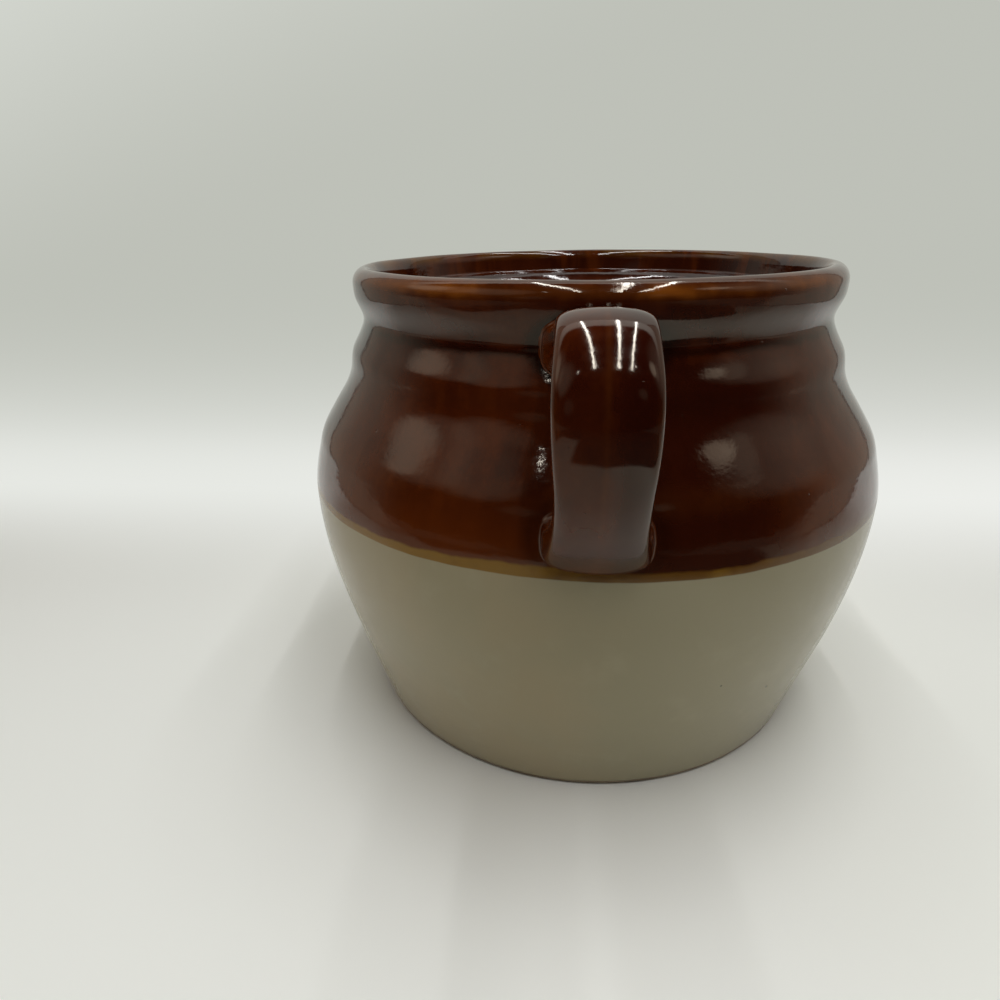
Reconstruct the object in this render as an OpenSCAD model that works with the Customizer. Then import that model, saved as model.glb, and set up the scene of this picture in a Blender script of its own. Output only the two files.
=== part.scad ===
// Stoneware bean pot: a thrown pot with a rolled rim and an inner ledge for a lid, one pulled
// strap handle, a brown glaze above and inside, and a cream glaze below.
// Millimetres, +Z up. The origin is the centre of the foot, on the surface that the pot stands on.
// The handle is on the -Y side.

/* [Pot] */
// Radius of the foot where it meets the table
foot_r = 76.9; // [74:0.1:80]
// Radius of the belly at its widest
belly_r = 95; // [92:0.5:98]
// Height of the widest part of the belly
belly_z = 79; // [74:1:79]
// Radius of the knee, where the shoulder turns in
knee_r = 90.7; // [89:0.1:91.5]
// Height of the knee
knee_z = 98.3; // [97:0.1:100]
// Radius of the soft ring round the bottom of the neck
ring_r = 80.1; // [79:0.1:81]
// Height of the soft ring
ring_z = 117.5; // [116:0.5:119]
// Radius of the groove under the rim
neck_r = 75.1; // [74:0.1:76]
// Height of the groove under the rim
neck_z = 132; // [131:0.5:133]
// Outer radius of the rolled rim
rim_r = 77.6; // [77:0.1:79]
// Height of the whole pot
pot_h = 147.2; // [146:0.1:149]
// Thickness of the pot's wall
wall_t = 6.8; // [6:0.1:8]
// Thickness of the floor
floor_t = 8; // [6:0.5:10]

/* [Lid ledge] */
// Radius of the wall that a lid drops into
mouth_r = 70.5; // [70:0.1:71]
// Height of the ledge that a lid rests on, at the ledge's outer edge
ledge_z = 139.6; // [139:0.1:140.5]
// Radius of the opening inside the ledge
throat_r = 64.5; // [63:0.5:66]

/* [Handle] */
// Width of the strap at its top
strap_w = 22.6; // [20:0.1:24]
// Thickness of the strap
strap_t = 8.7; // [7:0.1:10]
// Height of the rib along the strap's outer face
rib_h = 0.5; // [0:0.1:1]
// How far the strap's outer face reaches from the pot's axis
reach = 116.8; // [114:0.1:120]
// Height of the strap's top
strap_top_z = 144; // [143:0.1:146]
// Width of the strap's upper root on the neck
upper_root_w = 29; // [26:1:32]
// Width of the strap's lower root on the belly
lower_root_w = 29; // [26:1:32]

/* [Glaze] */
// Thickness of the glaze
glaze_t = 0.45; // [0.3:0.05:0.6]
// Height of the edge between the cream glaze and the brown one
glaze_line_z = 79.3; // [78:0.1:79.3]
// Height of the amber band where the brown glaze runs thin over the cream one
amber_h = 2.2; // [1:0.1:3]
// Height of the bare clay above the foot
bare_h = 1.8; // [1:0.1:3]
// Thickness of the slip that sticks the handle on
slip_t = 0.5; // [0.3:0.1:0.7]

/* [Hidden] */

$fn = 96;

// ---- the pot's outside ----

// The foot's edge is rounded off by this much.
foot_round = 1;
// The rolled rim: it is widest at roll_z, and its top is a half oval, wider outside than inside.
roll_z = pot_h - 4.6;
rim_out = 4.1;
rim_in = rim_r - mouth_r - rim_out;
rim_in_h = 2.9;

// Stations up the outside, each [height, radius, slope of the radius over the height].
stations = [
    [0, foot_r, 0.3],
    [belly_z, belly_r, 0],
    [knee_z - 4.3, knee_r + 1.5, -0.25],
    [knee_z + 1.7, knee_r - 1.2, -0.63],
    [knee_z + 9.7, knee_r - 6.4, -0.68],
    [ring_z, ring_r, -0.14],
    [ring_z + 4.5, ring_r - 0.75, -0.3],
    [neck_z - 5, neck_r + 1.7, -0.5],
    [neck_z, neck_r, -0.02],
    [roll_z - 3.4, rim_r - 0.2, 0.16],
    [roll_z, rim_r, 0]
];

// Cubic curve between stations a and b, as the radius at height z.
function between(a, b, z) =
    let (h = b[0] - a[0], t = (z - a[0]) / h)
    a[1] * (2 * pow(t, 3) - 3 * pow(t, 2) + 1) + b[1] * (3 * pow(t, 2) - 2 * pow(t, 3))
    + h * a[2] * (pow(t, 3) - 2 * pow(t, 2) + t) + h * b[2] * (pow(t, 3) - pow(t, 2));

// Radius of the outside at height z, from the stations of a list.
function radius_at(list, z, i = 0) =
    i < len(list) - 2 && z > list[i + 1][0] ? radius_at(list, z, i + 1) : between(list[i], list[i + 1], z);

// Points on a stationed curve from height z0 to z1, in n steps.
function rise(list, z0, z1, n) =
    [for (i = [0:n]) let (z = z0 + (z1 - z0) * i / n) [radius_at(list, z), z]];

// Quarter of an oval about c with half axes a and b, from angle a0 to a1 in n steps.
function oval(c, a, b, a0, a1, n) =
    [for (i = [0:n]) let (w = a0 + (a1 - a0) * i / n) c + [a * cos(w), b * sin(w)]];

// A list without its first point, to follow another list that ends there.
function rest_of(list) = [for (i = [1:len(list) - 1]) list[i]];

amber_z = glaze_line_z + amber_h;
foot_rise = rise(stations, foot_round, bare_h, 1);
cream_rise = rise(stations, bare_h, glaze_line_z, 18);
amber_rise = rise(stations, glaze_line_z, amber_z, 2);
brown_rise = rise(stations, amber_z, roll_z, 40);
rim_outside = oval([rim_r - rim_out, roll_z], rim_out, pot_h - roll_z, 0, 90, 7);
rim_inside = oval([mouth_r + rim_in, pot_h - rim_in_h], rim_in, rim_in_h, 90, 180, 5);

// ---- the pot's inside ----

corner_r = 14;
// The ledge slopes down by this much from the wall round a lid to the throat.
shelf_drop = 6;
floor_slope = 0.31;
inside = [
    [floor_t + corner_r, radius_at(stations, floor_t + corner_r) - wall_t - 0.6, floor_slope],
    [belly_z, belly_r - wall_t, 0],
    [knee_z + 1, knee_r - wall_t - 2.2, -0.62],
    [ring_z - 5, ring_r - wall_t - 3.6, -0.9],
    [ring_z + 6, throat_r + 0.5, -0.15],
    [ledge_z - shelf_drop, throat_r, 0]
];
inside_rise = rise(inside, inside[0][0], ledge_z - shelf_drop, 32);
corner_top = inside_rise[0];
floor_corner = oval([corner_top[0] - corner_r, floor_t + corner_r], corner_r, corner_r, 0, -90, 7);

function bezier(p, t) =
    pow(1 - t, 3) * p[0] + 3 * t * pow(1 - t, 2) * p[1] + 3 * pow(t, 2) * (1 - t) * p[2] + pow(t, 3) * p[3];

// The ledge slopes in from the wall round a lid, and turns down into the throat.
shelf = [
    [mouth_r, ledge_z],
    [mouth_r - 3, ledge_z - 1.6],
    [throat_r, ledge_z - 3.6],
    [throat_r, ledge_z - shelf_drop]
];
ledge = [for (k = [0:7]) bezier(shelf, k / 7)];

// The inside from the rim down to the middle of the floor.
inside_down = concat(
    ledge,
    rest_of([for (i = [len(inside_rise) - 1:-1:0]) inside_rise[i]]),
    rest_of(floor_corner),
    [[0, floor_t]]
);

// The finished surface, glaze and all: up the outside, over the rim and down the inside.
surface = concat(
    foot_rise,
    rest_of(cream_rise),
    rest_of(amber_rise),
    rest_of(brown_rise),
    rest_of(rim_outside),
    rest_of(rim_inside),
    inside_down
);
cream_from = len(foot_rise) - 1;
cream_to = cream_from + len(cream_rise) - 1;
amber_to = cream_to + len(amber_rise) - 1;
crest = amber_to + len(brown_rise) - 1 + len(rim_outside) - 1;
middle = len(surface) - 1;

// Unit vector to the left of the way from a to b: on this surface that points into the clay.
function into_clay(a, b) = let (d = b - a) [-d[1], d[0]] / norm(d);

// The line that lies at depth t under the surface p, point for point.
function sunk(p, t) =
    [for (i = [0:len(p) - 1])
        let (n1 = into_clay(p[max(i - 1, 0)], p[max(i, 1)]),
             n2 = into_clay(p[min(i, len(p) - 2)], p[min(i + 1, len(p) - 1)]))
        p[i] + t * (n1 + n2) / (1 + n1 * n2)];

// The clay under the glaze. The glaze pools a little deeper in the ledge's corner.
ledge_corner = len(surface) - len(inside_down);
pool = 0.3;
clay_line = sunk(surface, glaze_t);
clay = [for (i = [0:middle])
    i == middle ? [0, floor_t - glaze_t] : clay_line[i] + (i == ledge_corner ? [pool, 0] : [0, 0])];

function slice(list, i0, i1) = [for (i = [i0:i1]) list[i]];
function backwards(list) = [for (i = [len(list) - 1:-1:0]) list[i]];

// ---- the handle ----

// Each root runs straight into a flat-bottomed seat in the pot, from seat to clear of the surface.
upper_lo = 124;
upper_hi = 139.4;
upper_seat = 72.4;
upper_clear = 80;
lower_lo = 81;
lower_hi = 99;
lower_seat = 87.9;
lower_clear = 95.8;

section_steps = 24;
way_steps = 11;

// The strap's section: a rounded oblong of half width a and half thickness b, with a rib on one face.
function section(a, b, rib) =
    [for (i = [0:section_steps - 1])
        let (w = 360 * i / section_steps, x = a * sign(cos(w)) * pow(abs(cos(w)), 0.72))
        [x, b * sign(sin(w)) * pow(abs(sin(w)), 0.72) + (sin(w) > 0 ? rib * exp(-pow(x / (0.2 * a), 2)) : 0)]];

// The strap's outer and inner faces seen from the side, as [distance from the axis, height]:
// up from the neck to the top, over to the outermost place, and down to the belly.
top_y = 98.5;
outermost_z = 120;
outer_edge = [
    [[upper_clear, upper_hi], [upper_clear + 5, upper_hi + 0.5], [top_y - 9, strap_top_z], [top_y, strap_top_z]],
    [[top_y, strap_top_z], [top_y + 10.5, strap_top_z], [reach, outermost_z + 13], [reach, outermost_z]],
    [[reach, outermost_z], [reach, outermost_z - 14], [lower_clear + 7.5, lower_lo + 7.5], [lower_clear, lower_lo]]
];
under_top_z = strap_top_z - strap_t;
under_reach = reach - strap_t;
inner_edge = [
    [[upper_clear, upper_lo], [upper_clear + 4, upper_lo + 3], [top_y - 9, under_top_z], [top_y, under_top_z]],
    [[top_y, under_top_z], [top_y + 6.5, under_top_z], [under_reach, outermost_z + 9], [under_reach, outermost_z]],
    [[under_reach, outermost_z], [under_reach, outermost_z - 10], [lower_clear + 6.5, lower_hi + 3],
     [lower_clear, lower_hi]]
];

// A place on an edge: 0 to 3 runs along its three bends.
function along(edge, u) = let (k = min(floor(u), 2)) bezier(edge[k], u - k);
function half_w(u) =
    strap_w / 2 - 0.4 * u + (upper_root_w - strap_w) / 2 * pow(max(0, 1 - u), 2.2)
    + (lower_root_w - strap_w + 2.4) / 2 * pow(max(0, (u - 2.45) / 0.55), 2);
function fade(x) = min(1, max(0, x));
function rib_at(u) = rib_h * fade((u - 1) / 0.5) * fade((2.9 - u) / 0.6);

// One ring of the strap's skin between outer point o and inner point i, at depth t under the glaze.
function ring(o, i, a, rib, t) =
    let (c = (o + i) / 2, b = norm(o - i) / 2, n = (o - i) / (2 * b))
    [for (p = section(a - t, b - t, rib)) [p[0], -(c[0] + p[1] * n[0]), c[1] + p[1] * n[1]]];

function strap_rings(t) = concat(
    [ring([upper_seat + slip_t, upper_hi], [upper_seat + slip_t, upper_lo], upper_root_w / 2, 0, t)],
    [for (k = [0:3 * way_steps])
        let (u = k / way_steps)
        ring(along(outer_edge, u), along(inner_edge, u), half_w(u), rib_at(u), t)],
    [ring([lower_seat + slip_t, lower_lo], [lower_seat + slip_t, lower_hi], lower_root_w / 2, 0, t)]
);

// Triangles between ring i and the next one, in a list of rings of section_steps points.
function band(i, flip) =
    [for (j = [0:section_steps - 1], side = [0, 1])
        let (n = section_steps, k = (j + 1) % n,
             a = i * n + j, b = i * n + k, c = (i + 1) * n + k, d = (i + 1) * n + j,
             tri = side == 0 ? [a, b, c] : [a, c, d])
        flip ? [tri[0], tri[2], tri[1]] : tri];

// A solid strap: rings joined by bands, with a flat face at each end.
module strap(rings) {
    n = section_steps;
    last = len(rings) - 1;
    faces = concat(
        [[for (j = [n - 1:-1:0]) j]],
        [for (i = [0:last - 1]) each band(i, false)],
        [[for (j = [0:n - 1]) last * n + j]]
    );
    polyhedron(points = [for (r = rings) each r], faces = faces);
}

// A hollow strap skin between an outer and an inner list of rings.
module strap_skin(outer, inner) {
    n = section_steps;
    count = len(outer);
    last = count - 1;
    inner_faces = [for (i = [0:last - 1]) each band(count + i, true)];
    end_faces = [for (j = [0:n - 1])
        let (k = (j + 1) % n)
        each [
            [j, count * n + j, count * n + k], [j, count * n + k, k],
            [last * n + j, last * n + k, (count + last) * n + k],
            [last * n + j, (count + last) * n + k, (count + last) * n + j]
        ]];
    polyhedron(
        points = [for (r = concat(outer, inner)) each r],
        faces = concat([for (i = [0:last - 1]) each band(i, false)], inner_faces, end_faces)
    );
}

// A prism with a root's outline of width w between heights z0 and z1, reaching out along -Y from y0 to y1.
module root_prism(w, z0, z1, y0, y1) {
    translate([0, -y0, (z0 + z1) / 2])
        rotate([90, 0, 0])
            linear_extrude(y1 - y0)
                polygon(section(w / 2, (z1 - z0) / 2, 0));
}

module upper_seat_cut() {
    root_prism(upper_root_w, upper_lo, upper_hi, upper_seat, upper_clear + 5);
}

module lower_seat_cut() {
    root_prism(lower_root_w, lower_lo, lower_hi, lower_seat, lower_clear + 5);
}

// ---- the pieces ----

module stoneware_body() {
    color("tan")
        difference() {
            rotate_extrude()
                polygon(concat([[0, 0], [clay[0][0] - foot_round, 0]], clay));
            upper_seat_cut();
            lower_seat_cut();
        }
}

module strap_handle() {
    color("peru")
        strap(strap_rings(glaze_t));
}

module upper_slip_joint() {
    color("wheat")
        root_prism(upper_root_w, upper_lo, upper_hi, upper_seat, upper_seat + slip_t);
}

module lower_slip_joint() {
    color("wheat")
        root_prism(lower_root_w, lower_lo, lower_hi, lower_seat, lower_seat + slip_t);
}

// A coat of glaze on the surface, from point i0 to point i1.
module coat(i0, i1) {
    rotate_extrude()
        polygon(concat(slice(surface, i0, i1), backwards(slice(clay, i0, i1))));
}

module cream_glaze_outer() {
    color([0.56, 0.51, 0.42])
        coat(cream_from, cream_to);
}

module amber_glaze_line() {
    color([0.45, 0.3, 0.1])
        difference() {
            coat(cream_to, amber_to);
            lower_seat_cut();
        }
}

module brown_glaze_outer() {
    color([0.2, 0.09, 0.05])
        difference() {
            coat(amber_to, crest);
            upper_seat_cut();
            lower_seat_cut();
        }
}

module brown_glaze_liner() {
    color([0.27, 0.13, 0.07])
        coat(crest, middle);
}

module handle_glaze() {
    color([0.23, 0.1, 0.05])
        strap_skin(strap_rings(0), strap_rings(glaze_t));
}

stoneware_body();
strap_handle();
upper_slip_joint();
lower_slip_joint();
cream_glaze_outer();
amber_glaze_line();
brown_glaze_outer();
brown_glaze_liner();
handle_glaze();
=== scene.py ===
import math

import bmesh
import bpy
from mathutils import Matrix, Vector


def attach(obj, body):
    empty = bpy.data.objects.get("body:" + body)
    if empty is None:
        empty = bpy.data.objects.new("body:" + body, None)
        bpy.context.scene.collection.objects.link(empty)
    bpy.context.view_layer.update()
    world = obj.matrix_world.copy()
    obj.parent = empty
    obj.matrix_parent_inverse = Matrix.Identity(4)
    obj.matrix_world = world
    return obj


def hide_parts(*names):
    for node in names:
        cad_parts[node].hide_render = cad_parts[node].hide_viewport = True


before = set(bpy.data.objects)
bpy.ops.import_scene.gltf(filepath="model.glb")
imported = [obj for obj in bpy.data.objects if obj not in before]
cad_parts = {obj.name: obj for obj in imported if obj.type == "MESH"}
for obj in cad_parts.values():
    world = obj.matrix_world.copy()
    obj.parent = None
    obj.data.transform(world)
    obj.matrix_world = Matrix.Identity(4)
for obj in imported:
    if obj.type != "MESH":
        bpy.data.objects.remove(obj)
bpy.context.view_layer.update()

print("frame loaded:", sorted(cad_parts))


# small helpers, and the gaps in metres at which a mesh is sewn up

meshCare = {"startSize": 0.001, "mergeGap": 0.00001, "flatGap": 0.000001, "smoothAngle": 40}


def deselectAll():
    if bpy.context.object and bpy.context.object.mode != "OBJECT":
        bpy.ops.object.mode_set(mode="OBJECT")
    bpy.ops.object.select_all(action="DESELECT")


def choose(piece):
    deselectAll()
    piece.select_set(True)
    bpy.context.view_layer.objects.active = piece


def startPoint(name, place):
    deselectAll()
    bpy.ops.mesh.primitive_plane_add(size=meshCare["startSize"], location=(0, 0, 0))
    piece = bpy.context.object
    piece.name = name
    bpy.ops.object.mode_set(mode="EDIT")
    bpy.ops.mesh.select_all(action="SELECT")
    bpy.ops.mesh.merge(type="CENTER")
    bpy.ops.transform.translate(value=place)
    return piece


# draws a line by extruding one point on, then turns it round the pot's axis
def throwShape(name, line, steps):
    piece = startPoint(name, (line[0][0], 0, line[0][1]))
    for here, there in zip(line, line[1:]):
        step = (there[0] - here[0], 0, there[1] - here[1])
        bpy.ops.mesh.extrude_region_move(TRANSFORM_OT_translate={"value": step})
    bpy.ops.mesh.select_all(action="SELECT")
    bpy.ops.mesh.spin(steps=steps, angle=math.tau, center=(0, 0, 0), axis=(0, 0, 1))
    bpy.ops.mesh.select_all(action="SELECT")
    bpy.ops.mesh.remove_doubles(threshold=meshCare["mergeGap"])
    bpy.ops.mesh.dissolve_degenerate(threshold=meshCare["flatGap"])
    bpy.ops.mesh.normals_make_consistent(inside=False)
    bpy.ops.object.mode_set(mode="OBJECT")
    return piece


# the pot leaves the wheel a little uneven, and every coat follows the same unevenness
wheelWobble = {"size": 0.055, "amount": 0.0007}


def handMade(piece):
    texture = bpy.data.textures.get("wheelWobble")
    if texture is None:
        texture = bpy.data.textures.new("wheelWobble", "CLOUDS")
        texture.noise_scale = wheelWobble["size"]
        texture.noise_depth = 1
        texture.cloud_type = "COLOR"
    uneven = piece.modifiers.new("uneven", "DISPLACE")
    uneven.texture = texture
    uneven.texture_coords = "LOCAL"
    uneven.direction = "RGB_TO_XYZ"
    uneven.strength = wheelWobble["amount"]
    uneven.mid_level = 0.5
    choose(piece)
    bpy.ops.object.modifier_apply(modifier="uneven")


def smoothOver(piece, angle=meshCare["smoothAngle"]):
    choose(piece)
    bpy.ops.object.shade_smooth_by_angle(angle=math.radians(angle))


# the pot's lines, in metres

potShape = {
    "footRadius": 0.0769,
    "bellyRadius": 0.095, "bellyHeight": 0.079,
    "kneeRadius": 0.0907, "kneeHeight": 0.0983,
    "ringRadius": 0.0801, "ringHeight": 0.1175,
    "neckRadius": 0.0751, "neckHeight": 0.132,
    "rimRadius": 0.0776, "height": 0.1472,
    "rimOut": 0.0041, "rimOutHeight": 0.0046,   # the roll outside its crest
    "rimLean": 0.0004, "rimInHeight": 0.0042,   # the wall round a lid leans out a little
    "mouthRadius": 0.0705, "ledgeHeight": 0.1396, "ledgeFillet": 0.0009,
    "throatRadius": 0.0645, "ledgeDrop": 0.006,
    "wall": 0.0068, "floor": 0.008, "floorCorner": 0.014,
    "bareFoot": 0.0018, "footBevel": 0.0012, "footLip": 0.0003, "footTop": 0.001,
    "glazeLine": 0.0793, "amberBand": 0.0022,
    "coat": 0.0004, "bedding": 0.85,   # the glaze's thickness, and how much of it sinks into the clay
    "turns": 192, "creamSteps": 70, "amberSteps": 5, "brownSteps": 110, "rollSteps": 16,
    "rimInSteps": 12, "filletSteps": 5, "ledgeSteps": 16, "linerSteps": 70, "cornerSteps": 14,
    "floorSteps": 10,
}
shape = potShape
knee, kneeOut = shape["kneeHeight"], shape["kneeRadius"]
ring, neck, ledge = shape["ringHeight"], shape["neckHeight"], shape["ledgeHeight"]
mouth, throat, wall = shape["mouthRadius"], shape["throatRadius"], shape["wall"]
rollHeight = shape["height"] - shape["rimOutHeight"]
crestRadius = shape["rimRadius"] - shape["rimOut"]
amberTop = shape["glazeLine"] + shape["amberBand"]

# stations up the outside: height, radius, slope of the radius over the height
outsideStations = [
    (0, shape["footRadius"], 0.3),
    (shape["bellyHeight"], shape["bellyRadius"], 0),
    (knee - 0.0043, kneeOut + 0.0015, -0.25),
    (knee + 0.0017, kneeOut - 0.0012, -0.63),
    (knee + 0.0097, kneeOut - 0.0064, -0.68),
    (ring, shape["ringRadius"], -0.14),
    (ring + 0.0045, shape["ringRadius"] - 0.00075, -0.3),
    (neck - 0.005, shape["neckRadius"] + 0.0017, -0.5),
    (neck, shape["neckRadius"], -0.02),
    (rollHeight - 0.0034, shape["rimRadius"] - 0.0002, 0.16),
    (rollHeight, shape["rimRadius"], 0),
]


def radiusAt(stations, z):
    i = 0
    while i < len(stations) - 2 and z > stations[i + 1][0]:
        i += 1
    (z0, r0, s0), (z1, r1, s1) = stations[i], stations[i + 1]
    h = z1 - z0
    t = (z - z0) / h
    blend = 3 * t ** 2 - 2 * t ** 3
    return r0 * (1 - blend) + r1 * blend + h * s0 * (t ** 3 - 2 * t ** 2 + t) + h * s1 * (t ** 3 - t ** 2)


def rise(stations, z0, z1, steps):
    heights = [z0 + (z1 - z0) * i / steps for i in range(steps + 1)]
    return [(radiusAt(stations, z), z) for z in heights]


def oval(centre, a, b, start, end, steps):
    angles = [math.radians(start + (end - start) * i / steps) for i in range(steps + 1)]
    return [(centre[0] + a * math.cos(w), centre[1] + b * math.sin(w)) for w in angles]


def bezier(points, t):
    weights = ((1 - t) ** 3, 3 * t * (1 - t) ** 2, 3 * t ** 2 * (1 - t), t ** 3)
    return sum((weight * Vector(point) for weight, point in zip(weights, points)), Vector((0, 0)))


# the same line, moved into the clay by a depth
def sunk(line, depth):
    moved = []
    for i, (r, z) in enumerate(line):
        before, after = line[max(i - 1, 0)], line[min(i + 1, len(line) - 1)]
        dr, dz = after[0] - before[0], after[1] - before[1]
        size = math.hypot(dr, dz)
        moved.append((max(r - depth * dz / size, 0), z + depth * dr / size))
    return moved


# a coat of glaze is a closed skin: its face, and its back in fewer points
def coatLine(face, depth):
    back = sunk(face, depth)
    back = back[:1] + back[3:-3:3] + back[-1:]
    return face + back[::-1] + face[:1]


floorLevel, cornerRadius = shape["floor"], shape["floorCorner"]
cornerTop = floorLevel + cornerRadius
insideStations = [
    (cornerTop, radiusAt(outsideStations, cornerTop) - wall - 0.0006, 0.31),
    (shape["bellyHeight"], shape["bellyRadius"] - wall, 0),
    (knee + 0.001, kneeOut - wall - 0.0022, -0.62),
    (ring - 0.005, shape["ringRadius"] - wall - 0.0036, -0.9),
    (ring + 0.006, throat + 0.0005, -0.15),
    (ledge - shape["ledgeDrop"], throat, 0),
]

creamFace = rise(outsideStations, shape["bareFoot"], shape["glazeLine"], shape["creamSteps"])
amberFace = rise(outsideStations, shape["glazeLine"], amberTop, shape["amberSteps"])
brownFace = rise(outsideStations, amberTop, rollHeight, shape["brownSteps"])
brownFace += oval(
    (crestRadius, rollHeight), shape["rimOut"], shape["rimOutHeight"], 0, 90, shape["rollSteps"])[1:]

# the liner goes down from the crest round the wall that holds a lid
linerFace = oval(
    (crestRadius, shape["height"] - shape["rimInHeight"]),
    crestRadius - mouth - shape["rimLean"], shape["rimInHeight"], 90, 180, shape["rimInSteps"])

# the ledge slopes in and down to the throat, and glaze pools in the corner above it
fillet = shape["ledgeFillet"]
ledgeLine = [(mouth, ledge), (mouth - 0.003, ledge - 0.0016), (throat, ledge - 0.0036),
             (throat, ledge - shape["ledgeDrop"])]
linerFace += oval((mouth - fillet, ledge + fillet * 0.62), fillet, fillet, 0, -60, shape["filletSteps"])
linerFace += [tuple(bezier(ledgeLine, i / shape["ledgeSteps"])) for i in range(2, shape["ledgeSteps"] + 1)]

# below the throat come the wall, the rounded corner and the floor
linerFace += rise(insideStations, insideStations[0][0], insideStations[-1][0], shape["linerSteps"])[-2::-1]
linerFace += oval(
    (insideStations[0][1] - cornerRadius, cornerTop), cornerRadius, cornerRadius, 0, -90,
    shape["cornerSteps"])[1:]
floorEdge = linerFace[-1][0]
linerFace += [(floorEdge * (1 - i / shape["floorSteps"]), floorLevel)
              for i in range(1, shape["floorSteps"] + 1)]

# the clay under the coats is bare at the foot, and every second point is enough for the rest of it
clayLine = [(0, 0), (shape["footRadius"] - shape["footBevel"], 0),
            (shape["footRadius"] - shape["footBevel"] / 3, shape["footLip"])]
clayLine += rise(outsideStations, shape["footTop"], shape["bareFoot"] - shape["coat"] / 2, 1)
clayLine += sunk(
    (creamFace + amberFace[1:] + brownFace[1:])[::2] + linerFace[1::2], shape["coat"] * shape["bedding"])

print("throwing the pot")
pieces = {"clayBody": throwShape("clayBody", clayLine, shape["turns"])}
clayPoints = pieces["clayBody"].data.vertices
footHeights = {vert.index: vert.co.z for vert in clayPoints if vert.co.z < 2 * shape["footLip"]}
handMade(pieces["clayBody"])
for index, height in footHeights.items():   # the foot is ground flat
    clayPoints[index].co.z = height
smoothOver(pieces["clayBody"])

for name, face in (("creamCoat", creamFace), ("amberLine", amberFace), ("brownCoat", brownFace),
                   ("linerCoat", linerFace)):
    pieces[name] = throwShape(name, coatLine(face, shape["coat"]), shape["turns"])
    handMade(pieces[name])
    smoothOver(pieces[name])


# the handle, with places along it from 0 at the upper root, 1 at the top and 2 at the outermost point
# to 3 at the lower root

handleShape = {
    "width": 0.0226, "thickness": 0.0087, "taper": 0.0004,   # the taper is for each unit along it
    "topOut": 0.0985, "topHeight": 0.144, "reach": 0.1168, "outermostHeight": 0.12,
    "upperRootOut": 0.08, "upperRootLow": 0.1247, "upperRootHigh": 0.139,
    "upperRootWidth": 0.0276, "upperFlare": 2.2,
    "lowerRootOut": 0.0958, "lowerRootLow": 0.0818, "lowerRootHigh": 0.0962,
    "lowerRootWidth": 0.0292, "lowerFlare": 1.6, "lowerFlareFrom": 2.25,
    "bulge": 0.0005, "bulgeFrom": 1, "bulgeTo": 2.7,
    "rib": 0.0003, "ribWidth": 0.2, "ribGrows": (1.6, 2.1), "ribFades": (2.3, 2.9),
    "squareness": 0.5, "rounder": 0.34, "rounderAt": 1.42, "rounderOver": 0.22,
    "filletAbove": 0.0016, "filletRound": 0.0018, "filletUnder": 0.0008, "filletLift": 0.00012,
    "around": 64, "along": 30, "filletRings": 7, "smoothAngle": 60,
}
strap = handleShape
top, far, farHeight = strap["topOut"], strap["reach"], strap["outermostHeight"]
topHeight = strap["topHeight"]
under, underFar = topHeight - strap["thickness"], far - strap["thickness"]
upperOut, lowerOut = strap["upperRootOut"], strap["lowerRootOut"]

# the strap's outer and inner faces seen from the side: distance from the axis, height
outerEdge = [
    [(upperOut, strap["upperRootHigh"]), (upperOut + 0.005, strap["upperRootHigh"] + 0.0005),
     (top - 0.009, topHeight), (top, topHeight)],
    [(top, topHeight), (top + 0.0105, topHeight), (far, farHeight + 0.013), (far, farHeight)],
    [(far, farHeight), (far, farHeight - 0.014), (lowerOut + 0.0075, strap["lowerRootLow"] + 0.0075),
     (lowerOut, strap["lowerRootLow"])],
]
innerEdge = [
    [(upperOut, strap["upperRootLow"]), (upperOut + 0.004, strap["upperRootLow"] + 0.003),
     (top - 0.009, under), (top, under)],
    [(top, under), (top + 0.0065, under), (underFar, farHeight + 0.009), (underFar, farHeight)],
    [(underFar, farHeight), (underFar, farHeight - 0.01), (lowerOut + 0.0065, strap["lowerRootHigh"] + 0.003),
     (lowerOut, strap["lowerRootHigh"])],
]


def edgeAt(edge, u):
    bend = min(int(u), len(edge) - 1)
    return bezier(edge[bend], u - bend)


def ramp(value, low, high):
    return min(1, max(0, (value - low) / (high - low)))


def halfWidth(u):
    upperSwell = (strap["upperRootWidth"] - strap["width"]) / 2 * (1 - ramp(u, 0, 1)) ** strap["upperFlare"]
    lowerSwell = (strap["lowerRootWidth"] - strap["width"]) / 2
    lowerSwell *= ramp(u, strap["lowerFlareFrom"], 3) ** strap["lowerFlare"]
    bulge = strap["bulge"] * math.cos(math.tau * (ramp(u, strap["bulgeFrom"], strap["bulgeTo"]) - 0.5))
    return strap["width"] / 2 - strap["taper"] * u + bulge + upperSwell + lowerSwell


# a rounded oblong section, as across and outward distances, with the rib on its outer face
def section(halfAcross, halfThick, rib, squareness):
    points = []
    for i in range(strap["around"]):
        w = math.tau * i / strap["around"]
        x = halfAcross * math.cos(w)
        y = halfThick * math.copysign(abs(math.sin(w)) ** squareness, math.sin(w))
        if y > 0:
            y += rib * math.exp(-(x / (strap["ribWidth"] * halfAcross)) ** 2)
        points.append((x, y))
    return points


def strapRing(u):
    outer, inner = edgeAt(outerEdge, u), edgeAt(innerEdge, u)
    middle, outward = (outer + inner) / 2, (outer - inner).normalized()
    rib = strap["rib"] * ramp(u, *strap["ribGrows"]) * (1 - ramp(u, *strap["ribFades"]))
    rounder = strap["rounder"] * math.exp(-((u - strap["rounderAt"]) / strap["rounderOver"]) ** 2)
    around = section(halfWidth(u), (outer - inner).length / 2, rib, strap["squareness"] + rounder)
    return [Vector((x, -(middle.x + y * outward.x), middle.y + y * outward.y)) for x, y in around]


# the pot's outside behind a point, as that face's Y
def potFace(x, z):
    return -math.sqrt(radiusAt(outsideStations, z) ** 2 - x ** 2)


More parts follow.
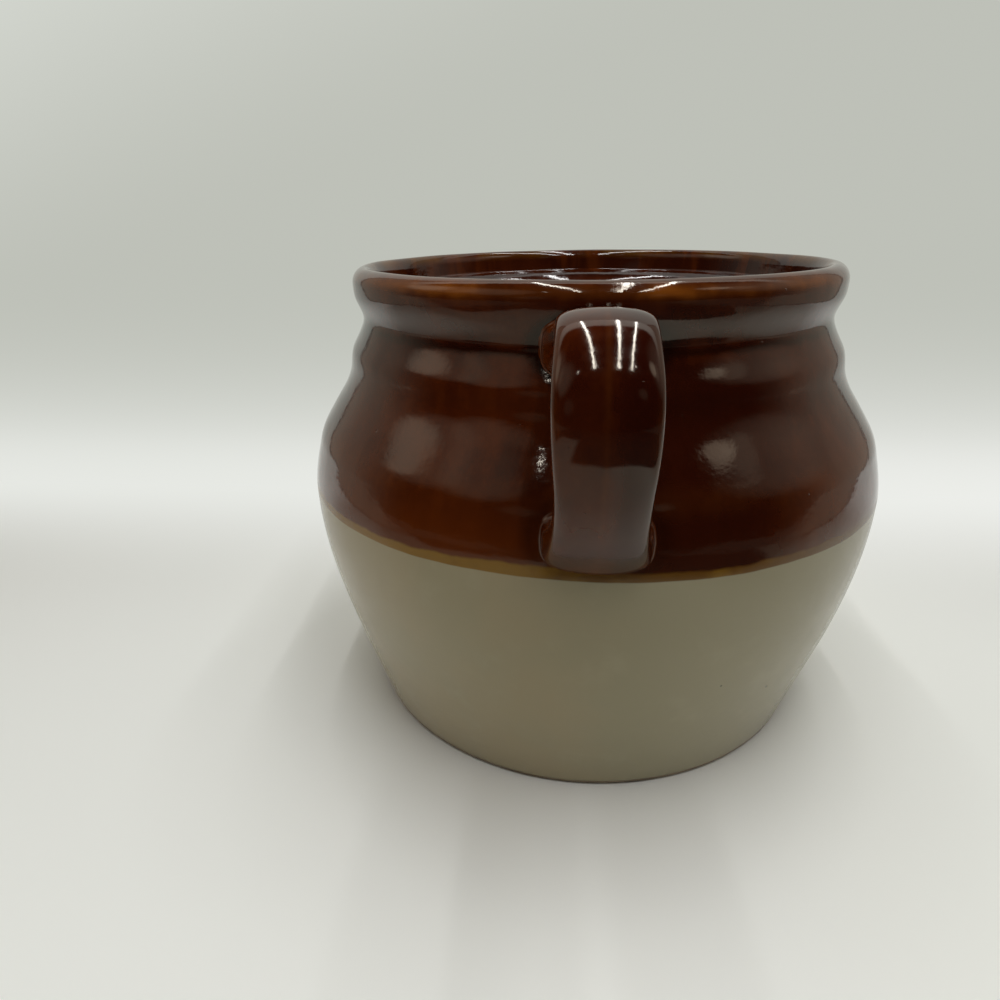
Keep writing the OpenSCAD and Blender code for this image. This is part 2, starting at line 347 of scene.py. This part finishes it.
# rings that carry the strap's root over into the pot in a soft fillet
def filletRings(root):
    middle = sum(p.z for p in root) / len(root)
    halfHigh = max(p.z for p in root) - middle
    halfAcross = max(p.x for p in root)
    rings = [[] for i in range(strap["filletRings"])]
    for p in root:
        away = Vector((p.x / halfAcross ** 2, (p.z - middle) / halfHigh ** 2)).normalized()
        low = max(0, -away.y) ** 2
        spread = strap["filletRound"] * (1 - low) + strap["filletUnder"] * low
        if middle > farHeight:
            spread = strap["filletAbove"]
        x, z = p.x + spread * away.x, p.z + spread * away.y
        corner = Vector((p.x, potFace(p.x, p.z), p.z))
        end = Vector((x, potFace(x, z) + strap["filletLift"], z))
        for i, circle in enumerate(rings):
            t = (i + 1) / strap["filletRings"]
            circle.append(p * (1 - t) ** 2 + corner * 2 * t * (1 - t) + end * t ** 2)
    return rings


# starts from a circle, and extrudes it on ring by ring from one root to the other
def pullStrap():
    body = [strapRing(i / strap["along"]) for i in range(3 * strap["along"] + 1)]
    rings = filletRings(body[0])[::-1] + body + filletRings(body[-1])
    deselectAll()
    bpy.ops.mesh.primitive_circle_add(vertices=strap["around"], radius=strap["width"] / 2)
    piece = bpy.context.object
    piece.name = "pulledHandle"
    bpy.ops.object.mode_set(mode="EDIT")
    mesh = bmesh.from_edit_mesh(piece.data)
    place = mesh.verts.layers.int.new("place")
    for i, vert in enumerate(mesh.verts):
        vert[place] = i
    for number, points in enumerate(rings):
        if number:
            bpy.ops.mesh.extrude_region_move()
        mesh = bmesh.from_edit_mesh(piece.data)
        place = mesh.verts.layers.int["place"]
        for vert in mesh.verts:
            if vert.select:
                vert.co = points[vert[place]]
        bmesh.update_edit_mesh(piece.data)
    bpy.ops.mesh.select_all(action="SELECT")
    bpy.ops.mesh.normals_make_consistent(inside=False)
    bpy.ops.object.mode_set(mode="OBJECT")
    return piece


print("pulling the handle")
pieces["pulledHandle"] = pullStrap()
handMade(pieces["pulledHandle"])
smoothOver(pieces["pulledHandle"], strap["smoothAngle"])


# shader maths as Python expressions

class Wire:
    def __init__(self, recipe, socket):
        self.recipe = recipe
        self.socket = socket

    def maths(self, operation, first, second):
        return self.recipe.node("ShaderNodeMath", {"operation": operation}, {0: first, 1: second})

    def __add__(self, other): return self.maths("ADD", self, other)
    def __radd__(self, other): return self.maths("ADD", other, self)
    def __sub__(self, other): return self.maths("SUBTRACT", self, other)
    def __rsub__(self, other): return self.maths("SUBTRACT", other, self)
    def __mul__(self, other): return self.maths("MULTIPLY", self, other)
    def __rmul__(self, other): return self.maths("MULTIPLY", other, self)
    def __neg__(self): return self.maths("MULTIPLY", self, -1)
    def __abs__(self): return self.recipe.node("ShaderNodeMath", {"operation": "ABSOLUTE"}, {0: self})


class Recipe:
    def __init__(self, name, holder=None):
        self.material = holder or bpy.data.materials.new(name)
        self.material.use_nodes = True
        self.tree = self.material.node_tree
        self.tree.nodes.clear()

    # any node: its type, its settings, and the values or links of its sockets
    def node(self, kind, settings=None, sockets=None, output=0):
        made = self.tree.nodes.new(kind)
        for name, value in (settings or {}).items():
            setattr(made, name, value)
        for name, value in (sockets or {}).items():
            if isinstance(value, Wire):
                self.tree.links.new(value.socket, made.inputs[name])
            else:
                made.inputs[name].default_value = value
        return Wire(self, made.outputs[output]) if made.outputs else None

    def place(self):
        return self.node("ShaderNodeTexCoord", output="Object")

    def ray(self, kind):
        return self.node("ShaderNodeLightPath", output=kind)

    def split(self, vector):
        made = self.node("ShaderNodeSeparateXYZ", sockets={0: vector}).socket.node
        return [Wire(self, made.outputs[i]) for i in range(3)]

    def vectors(self, operation, first, second=(0, 0, 0), output="Vector"):
        return self.node("ShaderNodeVectorMath", {"operation": operation}, {0: first, 1: second}, output)

    def noise(self, vector, scale, detail=2, rough=0.5):
        return self.node("ShaderNodeTexNoise", None, {
            "Vector": vector, "Scale": scale, "Detail": detail, "Roughness": rough})

    # 0 below the low value, 1 above the high one
    def ease(self, value, low, high):
        return self.node("ShaderNodeMapRange", {"interpolation_type": "SMOOTHSTEP"},
                         {"Value": value, "From Min": low, "From Max": high, "To Min": 0, "To Max": 1})

    # 1 at the centre, 0 a width away from it
    def hump(self, value, centre, width):
        return self.ease(value, centre - width, centre) - self.ease(value, centre, centre + width)

    # noise with soft edges, from its scale, detail and roughness and where it fades in
    def patches(self, vector, pattern):
        scale, detail, rough, low, high = pattern
        return self.ease(self.noise(vector, scale, detail, rough), low, high)

    # scattered dots, from their scale and where their edges fade
    def dots(self, vector, pattern):
        scale, low, high = pattern
        cells = self.node("ShaderNodeTexVoronoi", None, {"Vector": vector, "Scale": scale})
        return 1 - self.ease(cells, low, high)

    # two colours: sockets 6 and 7 are the colour ones
    def mix(self, factor, first, second):
        first, second = ((*c, 1) if isinstance(c, tuple) else c for c in (first, second))
        return self.node("ShaderNodeMix", {"data_type": "RGBA"}, {0: factor, 6: first, 7: second}, 2)

    def bump(self, height, distance, normal=None):
        sockets = {"Height": height, "Distance": distance}
        if normal:
            sockets["Normal"] = normal
        return self.node("ShaderNodeBump", None, sockets)

    def glow(self, colour):
        return self.node("ShaderNodeEmission", None, {"Color": colour, "Strength": 1.0})

    def finish(self, sockets):
        shader = self.node("ShaderNodeBsdfPrincipled", None, sockets)
        self.node("ShaderNodeOutputMaterial", None, {"Surface": shader})
        return self.material


# glazes and clay

glazeColours = {
    "cream": (0.33, 0.296, 0.185), "creamWarm": (0.362, 0.302, 0.182), "creamPale": (0.38, 0.34, 0.22),
    "pinhole": (0.05, 0.035, 0.02),
    "brownDark": (0.034, 0.0042, 0.0007), "brown": (0.066, 0.0105, 0.0012),
    # the two darkest browns are painted shade, to the right of the handle and round its roots; the darkest
    # also paints a dark reflection in the neck and is the glaze pooled on the inner ledge
    "brownRed": (0.115, 0.022, 0.0016), "brownShaded": (0.021, 0.0022, 0.0005), "pool": (0.012, 0.0018, 0.0004),
    "amber": (0.125, 0.052, 0.003), "amberThin": (0.23, 0.115, 0.008), "rimAmber": (0.21, 0.058, 0.006),
    "clay": (0.36, 0.29, 0.2), "clayDark": (0.22, 0.17, 0.11), "grit": (0.09, 0.06, 0.035),
    "slip": (0.42, 0.35, 0.25),
}
hue = glazeColours

# patches: scale, detail, roughness, and the two values between which they fade in
# dots: scale, and the distances from a dot's middle between which it fades out
glazePatterns = {
    "cloud": (34, 4, 0.6, 0.38, 0.66), "patchy": (52, 3, 0.6, 0.38, 0.62), "pale": (60, 3, 0.6, 0.5, 0.75),
    "linerCloud": (30, 4, 0.6, 0.35, 0.68), "linerStreak": (150, 3, 0.6, 0.45, 0.7),
    "linerPatchy": (75, 3, 0.5, 0.3, 0.65), "clayTone": (40, 4, 0.6, 0.35, 0.7),
    "pinholes": (52, 0.014, 0.027), "specks": (105, 0.01, 0.026),
}
pattern = glazePatterns

# where each change of the glaze lies, in metres, and how strong it is: the rim's heights are from the
# crest, and the line's from where cream and amber meet
glazeLook = {
    "driftScale": 26, "rippleScale": 140, "fineGrain": (420, 2, 0.6), "fineSpread": (0.2, 0.8),
    "lineDrift": 0.0009, "lineRipple": 0.00035, "lineFade": (-0.0002, 0.00025),
    "bandFade": (0.0018, 0.0028), "bandRipple": 0.0012, "bandWider": 0.0008, "bandWidest": (-0.018, 0.036),
    "band": {"scale": 110, "leftward": 5, "spread": (0.3, 0.7)},
    "warm": {"grain": (16, 3, 0.55), "rightward": 3, "spread": (0.3, 0.6)},
    "paleShare": 0.5, "pinholeShare": 0.8,
    "streaks": {"grain": (170, 3, 0.6), "drawnOut": (1, 1, 0.16), "fine": 0.3, "spread": (0.58, 0.86),
                "share": 0.25},
    "lowRed": {"fromLow": (0.084, 0.104), "fromLeft": (-0.04, 0.03), "share": 0.75, "rightLess": 0.3},
    # painted shade: the brown darker to the right of the handle, below the neck
    "paintedShadeRight": {"starts": (-0.002, 0.02), "ends": (0.035, 0.06), "below": (0.126, 0.13), "share": 0.8},
    # painted dark reflection in the hollow at the foot of the neck
    "neckDarkReflection": {"at": 0.1303, "over": 0.0018, "share": 0.75, "ripple": 0.002},
    "kneeThin": {"below": 0.0008, "over": 0.006, "share": 0.1},
    "rimThin": {"at": -0.0026, "over": 0.0022, "share": 0.8, "ripple": 0.003},
    "rollThin": {"between": (-0.0066, -0.003), "share": 0.25, "ripple": 0.002},
    "rimEnds": {"between": (0.035, 0.065), "less": 0.55},
    # on the handle: its outer face, and painted shade on the right half of it
    "handleOutside": (0.0865, 0.098), "handleRightShade": {"between": (0, 0.006), "share": 0.7},
    "handleInside": {"between": (0.079, 0.088), "share": 0.6},
    "ribThin": {"over": 0.0011, "share": 0.12}, "edgeThin": {"between": (0.0085, 0.0115), "share": 0.2},
    # painted contact shade round the handle's two roots
    "rootShade": [   # height of the middle, half height, half width, share
        (0.1318, 0.0086, 0.0156, 1), (0.0893, 0.0102, 0.0154, 0.4)],
    "poolEdge": (1.04, 0.26), "poolFront": (0, 0.05), "thinLeast": 0.25,
    "rough": 0.05, "roughSpread": 0.05, "creamRough": 0.12, "bandRough": 0.12,
    "swellScale": 48, "wavesGrain": (230, 2, 0.6), "wavesDrawnOut": (0.5, 0.5, 1), "peelScale": 700,
    "potDepths": (0.00026, 0.00004, 0.00002),   # of the swell, the waves and the peel
    "handleDepths": (0.00004, 0.00001, 0.000008),
    "pinholeDepth": 0.00012, "speckDepth": 0.0002,
    "glassiness": 1.52, "shineTint": (1.0, 0.92, 0.78, 1),
}


# cream below, amber at the line, brown above: one recipe, so that the coats match where they meet
def outsideGlaze(name, onHandle=False):
    look = glazeLook
    r = Recipe(name)
    p = r.place()
    x, y, z = r.split(p)
    drift = r.noise(p, look["driftScale"]) - 0.5
    ripple = r.noise(p, look["rippleScale"]) - 0.5
    fine = r.noise(p, *look["fineGrain"])
    line = z + drift * look["lineDrift"] + ripple * look["lineRipple"] - shape["glazeLine"]
    aboveLine = r.ease(line, *look["lineFade"])
    wider = r.hump(x, *look["bandWidest"]) * look["bandWider"]
    deep = r.ease(line + ripple * look["bandRipple"] - wider, *look["bandFade"])

    # the brown coat is thin on every high edge; painted shade darkens it to the right of the handle and round
    # the handle's roots, and a painted dark reflection darkens the neck's hollow
    brown = r.mix(r.patches(p, pattern["cloud"]), hue["brownDark"], hue["brown"])
    streaks = look["streaks"]
    streak = r.noise(r.vectors("MULTIPLY", p, streaks["drawnOut"]), *streaks["grain"])
    streak = r.ease(streak + fine * streaks["fine"], *streaks["spread"])
    brown = r.mix(streak * streaks["share"], brown, hue["brownRed"])
    if onHandle:
        outside = r.ease(-y, *look["handleOutside"])
        right, inside = look["handleRightShade"], look["handleInside"]
        # painted shade: the right half of the handle's outer face is darker
        brown = r.mix(r.ease(x, *right["between"]) * outside * right["share"], brown, hue["brownShaded"])
        brown = r.mix((1 - r.ease(-y, *inside["between"])) * inside["share"], brown, hue["brownRed"])
        thin = r.hump(x, 0, look["ribThin"]["over"]) * outside * look["ribThin"]["share"]
        thin = thin + r.ease(abs(x), *look["edgeThin"]["between"]) * outside * look["edgeThin"]["share"]
    else:
        low, paintedShadeRight, pool = look["lowRed"], look["paintedShadeRight"], look["neckDarkReflection"]
        share = low["share"] - r.ease(x, *low["fromLeft"]) * low["rightLess"]
        brown = r.mix((1 - r.ease(z, *low["fromLow"])) * share, brown, hue["brownRed"])
        # painted shade: the brown darker to the right of the handle, below the neck
        shadeRightMask = r.ease(x, *paintedShadeRight["starts"]) * (1 - r.ease(x, *paintedShadeRight["ends"]))
        shadeRightMask = shadeRightMask * (1 - r.ease(z, *paintedShadeRight["below"])) * paintedShadeRight["share"]
        brown = r.mix(shadeRightMask, brown, hue["brownShaded"])
        # painted dark reflection in the neck's hollow
        hollow = r.hump(z + ripple * pool["ripple"], pool["at"], pool["over"])
        brown = r.mix(hollow * pool["share"], brown, hue["pool"])
        rim, roll, ends, kneeThin = look["rimThin"], look["rollThin"], look["rimEnds"], look["kneeThin"]
        crest = z - shape["height"]
        thin = r.hump(crest + ripple * rim["ripple"], rim["at"], rim["over"]) * rim["share"]
        rolled = r.ease(crest + ripple * roll["ripple"], *roll["between"])
        thin = (thin + rolled * roll["share"]) * (1 - r.ease(abs(x), *ends["between"]) * ends["less"])
        thin = thin + r.hump(z, knee - kneeThin["below"], kneeThin["over"]) * kneeThin["share"]
    least = look["thinLeast"]
    thin = thin * (r.patches(p, pattern["patchy"]) * (1 - least) + least)
    brown = r.mix(thin, brown, hue["rimAmber"])
    if not onHandle:   # painted contact shade darkens the glaze round the handle's two roots
        for height, halfHigh, halfWide, share in look["rootShade"]:
            away = r.vectors("SUBTRACT", p, (0, 0, height))
            away = r.vectors("MULTIPLY", away, (1 / halfWide, 0, 1 / halfHigh))
            away = r.vectors("LENGTH", away, output="Value")
            pooled = r.hump(away, *look["poolEdge"]) * r.ease(-y, *look["poolFront"]) * share
            brown = r.mix(pooled, brown, hue["pool"])
    band = look["band"]
    spread = r.ease(r.noise(p, band["scale"]) - x * band["leftward"], *band["spread"])
    upper = r.mix(deep, r.mix(spread, hue["amber"], hue["amberThin"]), brown)

    # cream, warmer to the left, with slow changes of tone and a few pinholes
    warm = look["warm"]
    spread = r.ease(r.noise(p, *warm["grain"]) + x * warm["rightward"], *warm["spread"])
    cream = r.mix(spread, hue["creamWarm"], hue["cream"])
    cream = r.mix(r.patches(p, pattern["pale"]) * look["paleShare"], cream, hue["creamPale"])
    pinholes = r.dots(p, pattern["pinholes"])
    cream = r.mix(pinholes * look["pinholeShare"], cream, hue["pinhole"])

    rough = r.ease(fine, *look["fineSpread"]) * look["roughSpread"] + look["rough"]
    rough = rough + (1 - aboveLine) * look["creamRough"] + aboveLine * (1 - deep) * look["bandRough"]
    swell, waves, peel = look["handleDepths" if onHandle else "potDepths"]
    drawnOut = r.vectors("MULTIPLY", p, look["wavesDrawnOut"])
    bumped = r.bump(r.noise(p, look["swellScale"]), swell)
    bumped = r.bump(r.noise(drawnOut, *look["wavesGrain"]), waves, bumped)
    bumped = r.bump(r.noise(p, look["peelScale"]), peel, bumped)
    bumped = r.bump(-pinholes, look["pinholeDepth"], bumped)
    bumped = r.bump(r.dots(p, pattern["specks"]) * aboveLine, look["speckDepth"], bumped)
    return r.finish({"Base Color": r.mix(aboveLine, cream, upper), "Roughness": rough, "Normal": bumped,
                     "IOR": look["glassiness"], "Specular Tint": look["shineTint"]})


# amber is thin on the rim's inner edge, and brown is thick on the ledge: below, over, share
linerLook = {
    "rimThin": (0.0006, 0.0032, 0.6), "ledgePool": (0.0016, 0.0026, 0.7), "drawnOut": (1, 1, 0.2),
    "streakShare": 0.75, "roughScale": 300, "rough": 0.05, "roughSpread": 0.06,
    "swellScale": 60, "swell": 0.0003, "peelScale": 700, "peel": 0.00002,
}


def linerGlaze():
    look = linerLook
    r = Recipe("linerGlaze")
    p = r.place()
    z = r.split(p)[2]
    brown = r.mix(r.patches(p, pattern["linerCloud"]), hue["brownDark"], hue["brown"])
    streak = r.patches(r.vectors("MULTIPLY", p, look["drawnOut"]), pattern["linerStreak"])
    brown = r.mix(streak * look["streakShare"], brown, hue["brownRed"])
    below, over, share = look["rimThin"]
    thin = r.hump(z, shape["height"] - below, over) * share
    brown = r.mix(thin * r.patches(p, pattern["linerPatchy"]), brown, hue["amber"])
    below, over, share = look["ledgePool"]
    brown = r.mix(r.hump(z, ledge - below, over) * share, brown, hue["pool"])
    rough = r.noise(p, look["roughScale"]) * look["roughSpread"] + look["rough"]
    bumped = r.bump(r.noise(p, look["swellScale"]), look["swell"])
    bumped = r.bump(r.noise(p, look["peelScale"]), look["peel"], bumped)
    return r.finish({"Base Color": brown, "Roughness": rough, "Normal": bumped,
                     "IOR": glazeLook["glassiness"]})


clayLook = {"grain": 900, "slipGrain": 1500, "gritFrom": (0.62, 0.72), "gritShare": 0.6,
            "roughScale": 200, "rough": 0.72, "roughSpread": 0.2, "depth": 0.00012}


def bareClay(name, pale, dark, grain):
    look = clayLook
    r = Recipe(name)
    p = r.place()
    speck = r.noise(p, grain, 3, 0.7)
    tone = r.mix(r.patches(p, pattern["clayTone"]), dark, pale)
    tone = r.mix(r.ease(speck, *look["gritFrom"]) * look["gritShare"], tone, hue["grit"])
    rough = r.noise(p, look["roughScale"]) * look["roughSpread"] + look["rough"]
    return r.finish({"Base Color": tone, "Roughness": rough, "Normal": r.bump(speck, look["depth"])})


print("mixing the glazes")
coatGlaze = outsideGlaze("outsideGlaze")
handleGlaze = outsideGlaze("handleGlaze", onHandle=True)
insideGlaze = linerGlaze()
clay = bareClay("bareClay", hue["clay"], hue["clayDark"], clayLook["grain"])
slip = bareClay("slipClay", hue["slip"], hue["clay"], clayLook["slipGrain"])


def dress(piece, material):
    if not piece.material_slots:
        piece.data.materials.append(material)
    for slot in piece.material_slots:
        slot.material = material


print("dressing the pieces")
for name, material, slotName, stands in (
        ("clayBody", clay, "bare_clay", ["stoneware_body"]),
        ("creamCoat", coatGlaze, "cream_glaze", ["cream_glaze_outer"]),
        ("amberLine", coatGlaze, "amber_glaze", ["amber_glaze_line"]),
        ("brownCoat", coatGlaze, "brown_glaze", ["brown_glaze_outer"]),
        ("linerCoat", insideGlaze, "liner_glaze", ["brown_glaze_liner"]),
        ("pulledHandle", handleGlaze, "brown_glaze", ["handle_glaze", "strap_handle"])):
    dress(pieces[name], material)
    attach(pieces[name], "root")
    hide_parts(*stands)

for node in ("upper_slip_joint", "lower_slip_joint"):
    dress(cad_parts[node], slip)


# the stage: white paper that runs up into a wall; from just behind the pot the paper glows with painted
# light, which also lights the pot, brightest at the wall's foot and top and to the right

stageSet = {
    "floorHeight": -0.0001, "floorFront": -1.6, "floorBack": 0.28, "halfWidth": 1.6,
    "bend": 0.26, "bendSteps": 24, "wallTop": 1.3,
    "floorNear": (0.92, 0.94, 0.905), "floorNearRight": (0.9, 0.92, 0.875), "rightFrom": (0.02, 0.1),
    "floorFar": (0.93, 0.94, 0.91), "farFrom": (-0.2, 0.15), "paperRough": 0.6,
    "wallFoot": (0.79, 0.805, 0.765), "wallFootRight": (0.84, 0.85, 0.815), "footLeftToRight": (-0.4, 0.3),
    "wallGlow": (0.515, 0.53, 0.48), "glowFrom": (0.16, 0.5),
    "wallHigh": (0.76, 0.785, 0.735), "highFrom": (0.28, 0.85), "highLean": 0.35, "wallFrom": (0.03, 0.17),
}

# what only the glaze mirrors and the camera never sees: a dark room in front of the paper, the floor in
# the pot's own shade, and a darker wall on either side with a dark seam where it starts
mirroredRoom = {
    "floorUnlit": (0.06, 0.055, 0.05), "floorDim": (0.42, 0.41, 0.36),
    "unlitFrom": (0.265, 0.29), "unlitSlant": 0.1, "unlitSlantFrom": (0.04, 0.2),
    "lighterSlant": 1.5, "lighterFrom": (0, 0.04),
    "dimFrom": (0.07, 0.16), "dimShare": 0.72, "dimLess": 0.6, "dimLessAt": (0.11, 0.11),
    "litLeft": {"starts": (-0.4, -0.34), "ends": (-0.05, -0.02), "slant": 0.167, "front": (0.62, 0.68)},
    "sideWall": (0.4, 0.36, 0.3), "sideSeam": (0.13, 0.115, 0.1),
    "sideFrom": (0.61, 0.62), "seamEnds": (0.63, 0.665), "seamFront": (0.15, 0.35),
}


def paleSweep():
    s, m = stageSet, mirroredRoom
    piece = startPoint("paleSweep", (-s["halfWidth"], s["floorFront"], s["floorHeight"]))
    steps = [(0, s["floorBack"] - s["floorFront"], 0)]
    last = (0, 0)
    for i in range(1, s["bendSteps"] + 1):
        w = math.radians(90 * i / s["bendSteps"])
        now = (s["bend"] * math.sin(w), s["bend"] * (1 - math.cos(w)))
        steps.append((0, now[0] - last[0], now[1] - last[1]))
        last = now
    steps.append((0, 0, s["wallTop"] - s["bend"]))
    for step in steps:
        bpy.ops.mesh.extrude_region_move(TRANSFORM_OT_translate={"value": step})
    bpy.ops.mesh.select_all(action="SELECT")
    bpy.ops.mesh.extrude_region_move(TRANSFORM_OT_translate={"value": (2 * s["halfWidth"], 0, 0)})
    bpy.ops.object.mode_set(mode="OBJECT")
    bpy.ops.object.shade_smooth()

    r = Recipe("palePaper")
    x, y, z = r.split(r.place())
    mirrored = 1 - r.ray("Is Camera Ray")
    left = m["litLeft"]
    lit = r.ease(x, *left["starts"]) * (1 - r.ease(x - y * left["slant"], *left["ends"]))
    lit = lit * (1 - r.ease(-y, *left["front"]))
    slanted = r.ease(x, *m["unlitSlantFrom"]) * m["unlitSlant"] - y
    unlit = r.ease(slanted, *m["unlitFrom"]) * (1 - lit) * mirrored
    lighter = r.ease(x + y * m["lighterSlant"], *m["lighterFrom"])
    darkness = r.mix(lighter, m["floorUnlit"], m["floorDim"])
    tone = r.mix(r.ease(x, *s["rightFrom"]), s["floorNear"], s["floorNearRight"])
    tone = r.mix(r.ease(y, *s["farFrom"]), tone, s["floorFar"])
    dim = r.ease(-y, *m["dimFrom"]) * (m["dimShare"] - r.hump(x, *m["dimLessAt"]) * m["dimLess"])
    tone = r.mix(dim * r.ray("Is Glossy Ray"), tone, m["floorDim"])
    paper = r.node("ShaderNodeBsdfPrincipled", None, {
        "Base Color": r.mix(unlit, tone, darkness), "Roughness": s["paperRough"]})

    foot = r.mix(r.ease(x, *s["footLeftToRight"]), s["wallFoot"], s["wallFootRight"])
    lightness = r.mix(r.ease(y, *s["glowFrom"]), foot, s["wallGlow"])
    lightness = r.mix(r.ease(z - x * s["highLean"], *s["highFrom"]), lightness, s["wallHigh"])
    # painted light: the paper behind the pot glows for every ray instead of being lit
    sweep = r.node("ShaderNodeMixShader", None, {
        0: r.ease(y, *s["wallFrom"]), 1: paper, 2: r.glow(lightness)})
    pastSeam = r.ease(abs(x), *m["seamEnds"]) * (1 - r.ease(-y, *m["seamFront"]))
    side = r.glow(r.mix(pastSeam, m["sideSeam"], m["sideWall"]))
    sweep = r.node("ShaderNodeMixShader", None, {
        0: r.ease(abs(x), *m["sideFrom"]) * mirrored, 1: sweep, 2: side})
    r.node("ShaderNodeOutputMaterial", None, {"Surface": sweep})
    dress(piece, r.material)


print("setting the stage")
paleSweep()


# the room round the pot, by direction: open and dark in front, pale behind and above, a few soft patches

roomLook = {
    "sides": (0.42, 0.375, 0.31), "above": (1.34, 1.36, 1.31), "front": (0.02, 0.016, 0.014),
    "backdrop": (0.6, 0.61, 0.57),   # what the camera sees beyond the paper
    "aboveFrom": (0.45, 0.9), "frontFrom": (-0.4, 0.35),
    "overheadFrom": (0.45, 0.7), "openOverhead": (-0.02, 0.05), "openLean": 0.31,
    "patchTone": (1, 0.88, 0.75),
    "patches": [   # azimuth from the front, elevation, inner and outer radius in degrees, how bright
        (-89, 32, 5, 14, 0.7), (-76, 35, 4, 20, 0.32), (-50, 36, 4, 20, 0.36), (64, 42, 3, 8, 1.3),
        (72, 36, 2, 9, 0.3), (84, 34, 6, 27, 0.25), (-27, 13, 3, 9, 0.1), (28, 25, 2, 6, 0.16)],
}


def towards(azimuth, elevation):
    a, e = math.radians(azimuth), math.radians(elevation)
    return (math.sin(a) * math.cos(e), -math.cos(a) * math.cos(e), math.sin(e))


def roomLight():
    look = roomLook
    world = bpy.data.worlds.new("room")
    bpy.context.scene.world = world
    r = Recipe("room", world)
    direction = r.node("ShaderNodeTexCoord", output="Generated")
    x, y, z = r.split(direction)
    pale = r.mix(r.ease(z, *look["aboveFrom"]), look["sides"], look["above"])
    openFront = r.ease(-y, *look["frontFrom"])
    openAbove = r.ease(z * look["openLean"] - y, *look["openOverhead"])
    overhead = r.ease(z, *look["overheadFrom"])
    room = r.mix(openFront * (1 - overhead) + openAbove * overhead, pale, look["front"])
    lit = 0
    for azimuth, elevation, inner, outer, bright in look["patches"]:
        near = r.vectors("DOT_PRODUCT", direction, towards(azimuth, elevation), output="Value")
        lit = r.ease(near, *(math.cos(math.radians(w)) for w in (outer, inner))) * bright + lit
    room = r.vectors("ADD", room, r.vectors("MULTIPLY", lit, look["patchTone"]))
    room = r.mix(r.ray("Is Camera Ray"), room, look["backdrop"])
    background = r.node("ShaderNodeBackground", None, {"Color": room, "Strength": 1.0})
    r.node("ShaderNodeOutputWorld", None, {"Surface": background})


# three long lamps overhead, which run from front to back, and two small ones that glint beside the handle

lampSet = {
    "strips": {"across": (-0.105, 0.1, 0.222), "y": -0.2, "z": 0.74, "size": (0.017, 0.86), "turn": 2.5,
               "power": 1.3},
    "glints": {"places": ((-25.5, 46), (31, 50)), "from": (0, -0.08, 0.1), "away": 0.8,
               "size": (0.008, 0.02), "power": 0.014},
}


def hangLamp(name, place, kind):
    deselectAll()
    bpy.ops.object.light_add(type="AREA", location=place)
    lamp = bpy.context.object
    lamp.name = name
    lamp.data.shape = "RECTANGLE"
    lamp.data.size, lamp.data.size_y = kind["size"]
    lamp.data.energy = kind["power"]
    return lamp


def hangLamps():
    strips, glints = lampSet["strips"], lampSet["glints"]
    for i, across in enumerate(strips["across"]):
        lamp = hangLamp(f"stripLamp{i}", (across, strips["y"], strips["z"]), strips)
        lamp.rotation_euler.z = math.radians(strips["turn"])
    for i, (azimuth, elevation) in enumerate(glints["places"]):
        out = Vector(towards(azimuth, elevation))
        lamp = hangLamp(f"glintLamp{i}", out * glints["away"] + Vector(glints["from"]), glints)
        lamp.rotation_euler = out.to_track_quat("Z", "Y").to_euler()


print("lighting the room")
roomLight()
hangLamps()


# the camera stands close, a little to the left of the handle: metres, degrees, and the focal length as a
# share of the sensor's width

cameraSet = {"place": (-0.008606, -0.246444, 0.161554), "yaw": 5.302, "pitch": 21.936, "roll": -0.95,
             "focal": 0.70781, "sensor": 36.0, "nearest": 0.01}


def placeCamera():
    c = cameraSet
    yaw, pitch, roll = (math.radians(c[turn]) for turn in ("yaw", "pitch", "roll"))
    forward = Vector((-math.sin(yaw) * math.cos(pitch), math.cos(yaw) * math.cos(pitch), -math.sin(pitch)))
    right = Vector((math.cos(yaw), math.sin(yaw), 0))
    up = right.cross(forward)
    turnedRight = math.cos(roll) * right + math.sin(roll) * up
    turnedUp = -math.sin(roll) * right + math.cos(roll) * up
    deselectAll()
    bpy.ops.object.camera_add()
    camera = bpy.context.object
    camera.data.sensor_width = c["sensor"]
    camera.data.lens = c["focal"] * c["sensor"]
    camera.data.clip_start = c["nearest"]
    aim = Matrix((turnedRight, turnedUp, -forward)).transposed().to_4x4()
    camera.matrix_world = Matrix.Translation(c["place"]) @ aim
    bpy.context.scene.camera = camera


print("placing the camera")
placeCamera()
bpy.context.scene.view_settings.view_transform = "Standard"
deselectAll()
